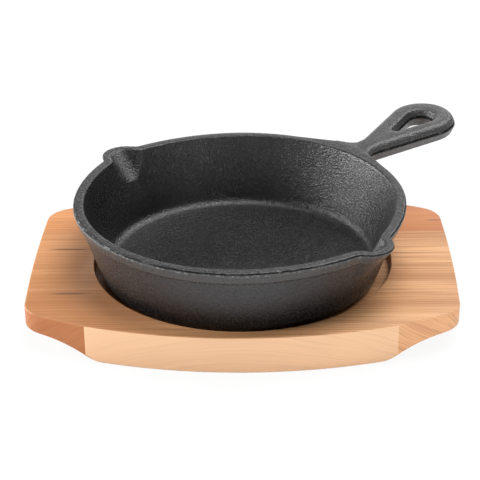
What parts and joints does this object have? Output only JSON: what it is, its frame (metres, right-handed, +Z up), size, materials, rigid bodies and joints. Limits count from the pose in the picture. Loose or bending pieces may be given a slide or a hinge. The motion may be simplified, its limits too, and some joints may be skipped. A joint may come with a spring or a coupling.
{
  "type": "sizzle platter",
  "caption": "Round cast iron skillet with pour spouts and an eyed handle, resting in the round recess of a wooden serving board with finger scoops.",
  "frame": {"origin": "centre of the board's underside", "axes": "+X along the board's length, +Y towards the handle side at the back, +Z up"},
  "size_m": [0.214, 0.1875, 0.057],
  "materials": {
    "iron": "fine sand-cast texture, black, satin",
    "wood": "light hardwood, oiled, grain along X"
  },
  "bodies": {
    "root": {"skillet": "iron", "board": "wood"}
  },
  "joints": []
}
